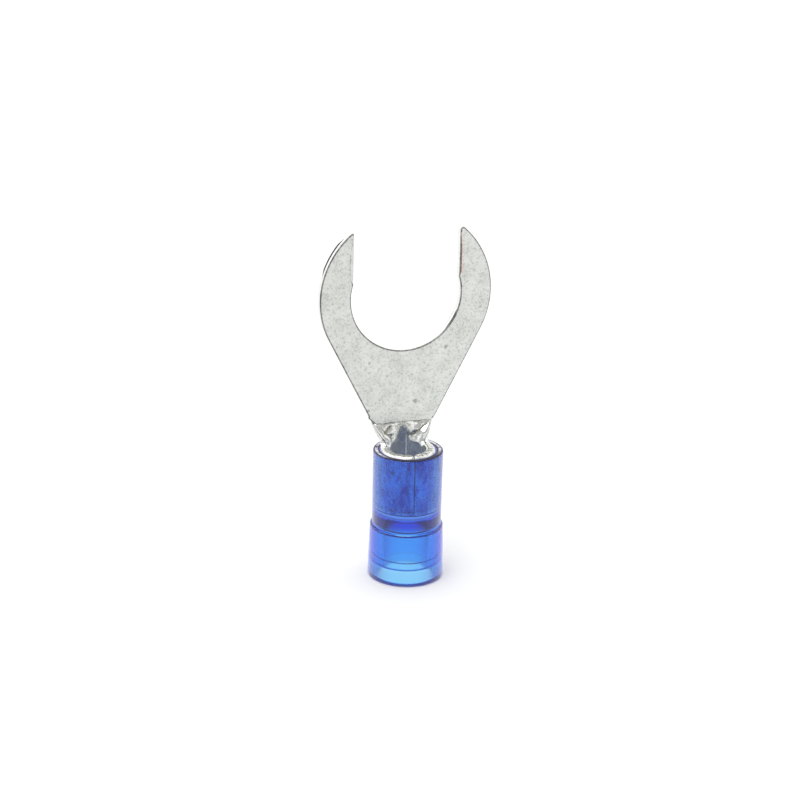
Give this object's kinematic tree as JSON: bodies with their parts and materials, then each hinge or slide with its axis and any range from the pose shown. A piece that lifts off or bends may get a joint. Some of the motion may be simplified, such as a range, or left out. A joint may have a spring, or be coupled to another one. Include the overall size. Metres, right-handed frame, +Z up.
{
  "type": "insulated fork terminal",
  "caption": "Insulated crimp fork terminal: flat open-ended copper tongue for a stud, rolled barrel with a butt seam, and a stepped clear nylon sleeve with a funnel entry for the wire.",
  "frame": {"origin": "centre of the sleeve's mouth, on the flat end that it stands on", "axes": "+Z up the barrel's axis towards the prong tips, +X across the fork's width, -Y the side of the barrel's seam"},
  "size_m": [0.013, 0.0056, 0.0264],
  "materials": {
    "tinned_copper": "satin tin plate over copper, bare copper on the cut edges",
    "blue_nylon": "clear blue moulded nylon, glossy"
  },
  "bodies": {
    "root": {"fork_lug": "tinned_copper", "insulating_sleeve": "blue_nylon"}
  },
  "joints": []
}
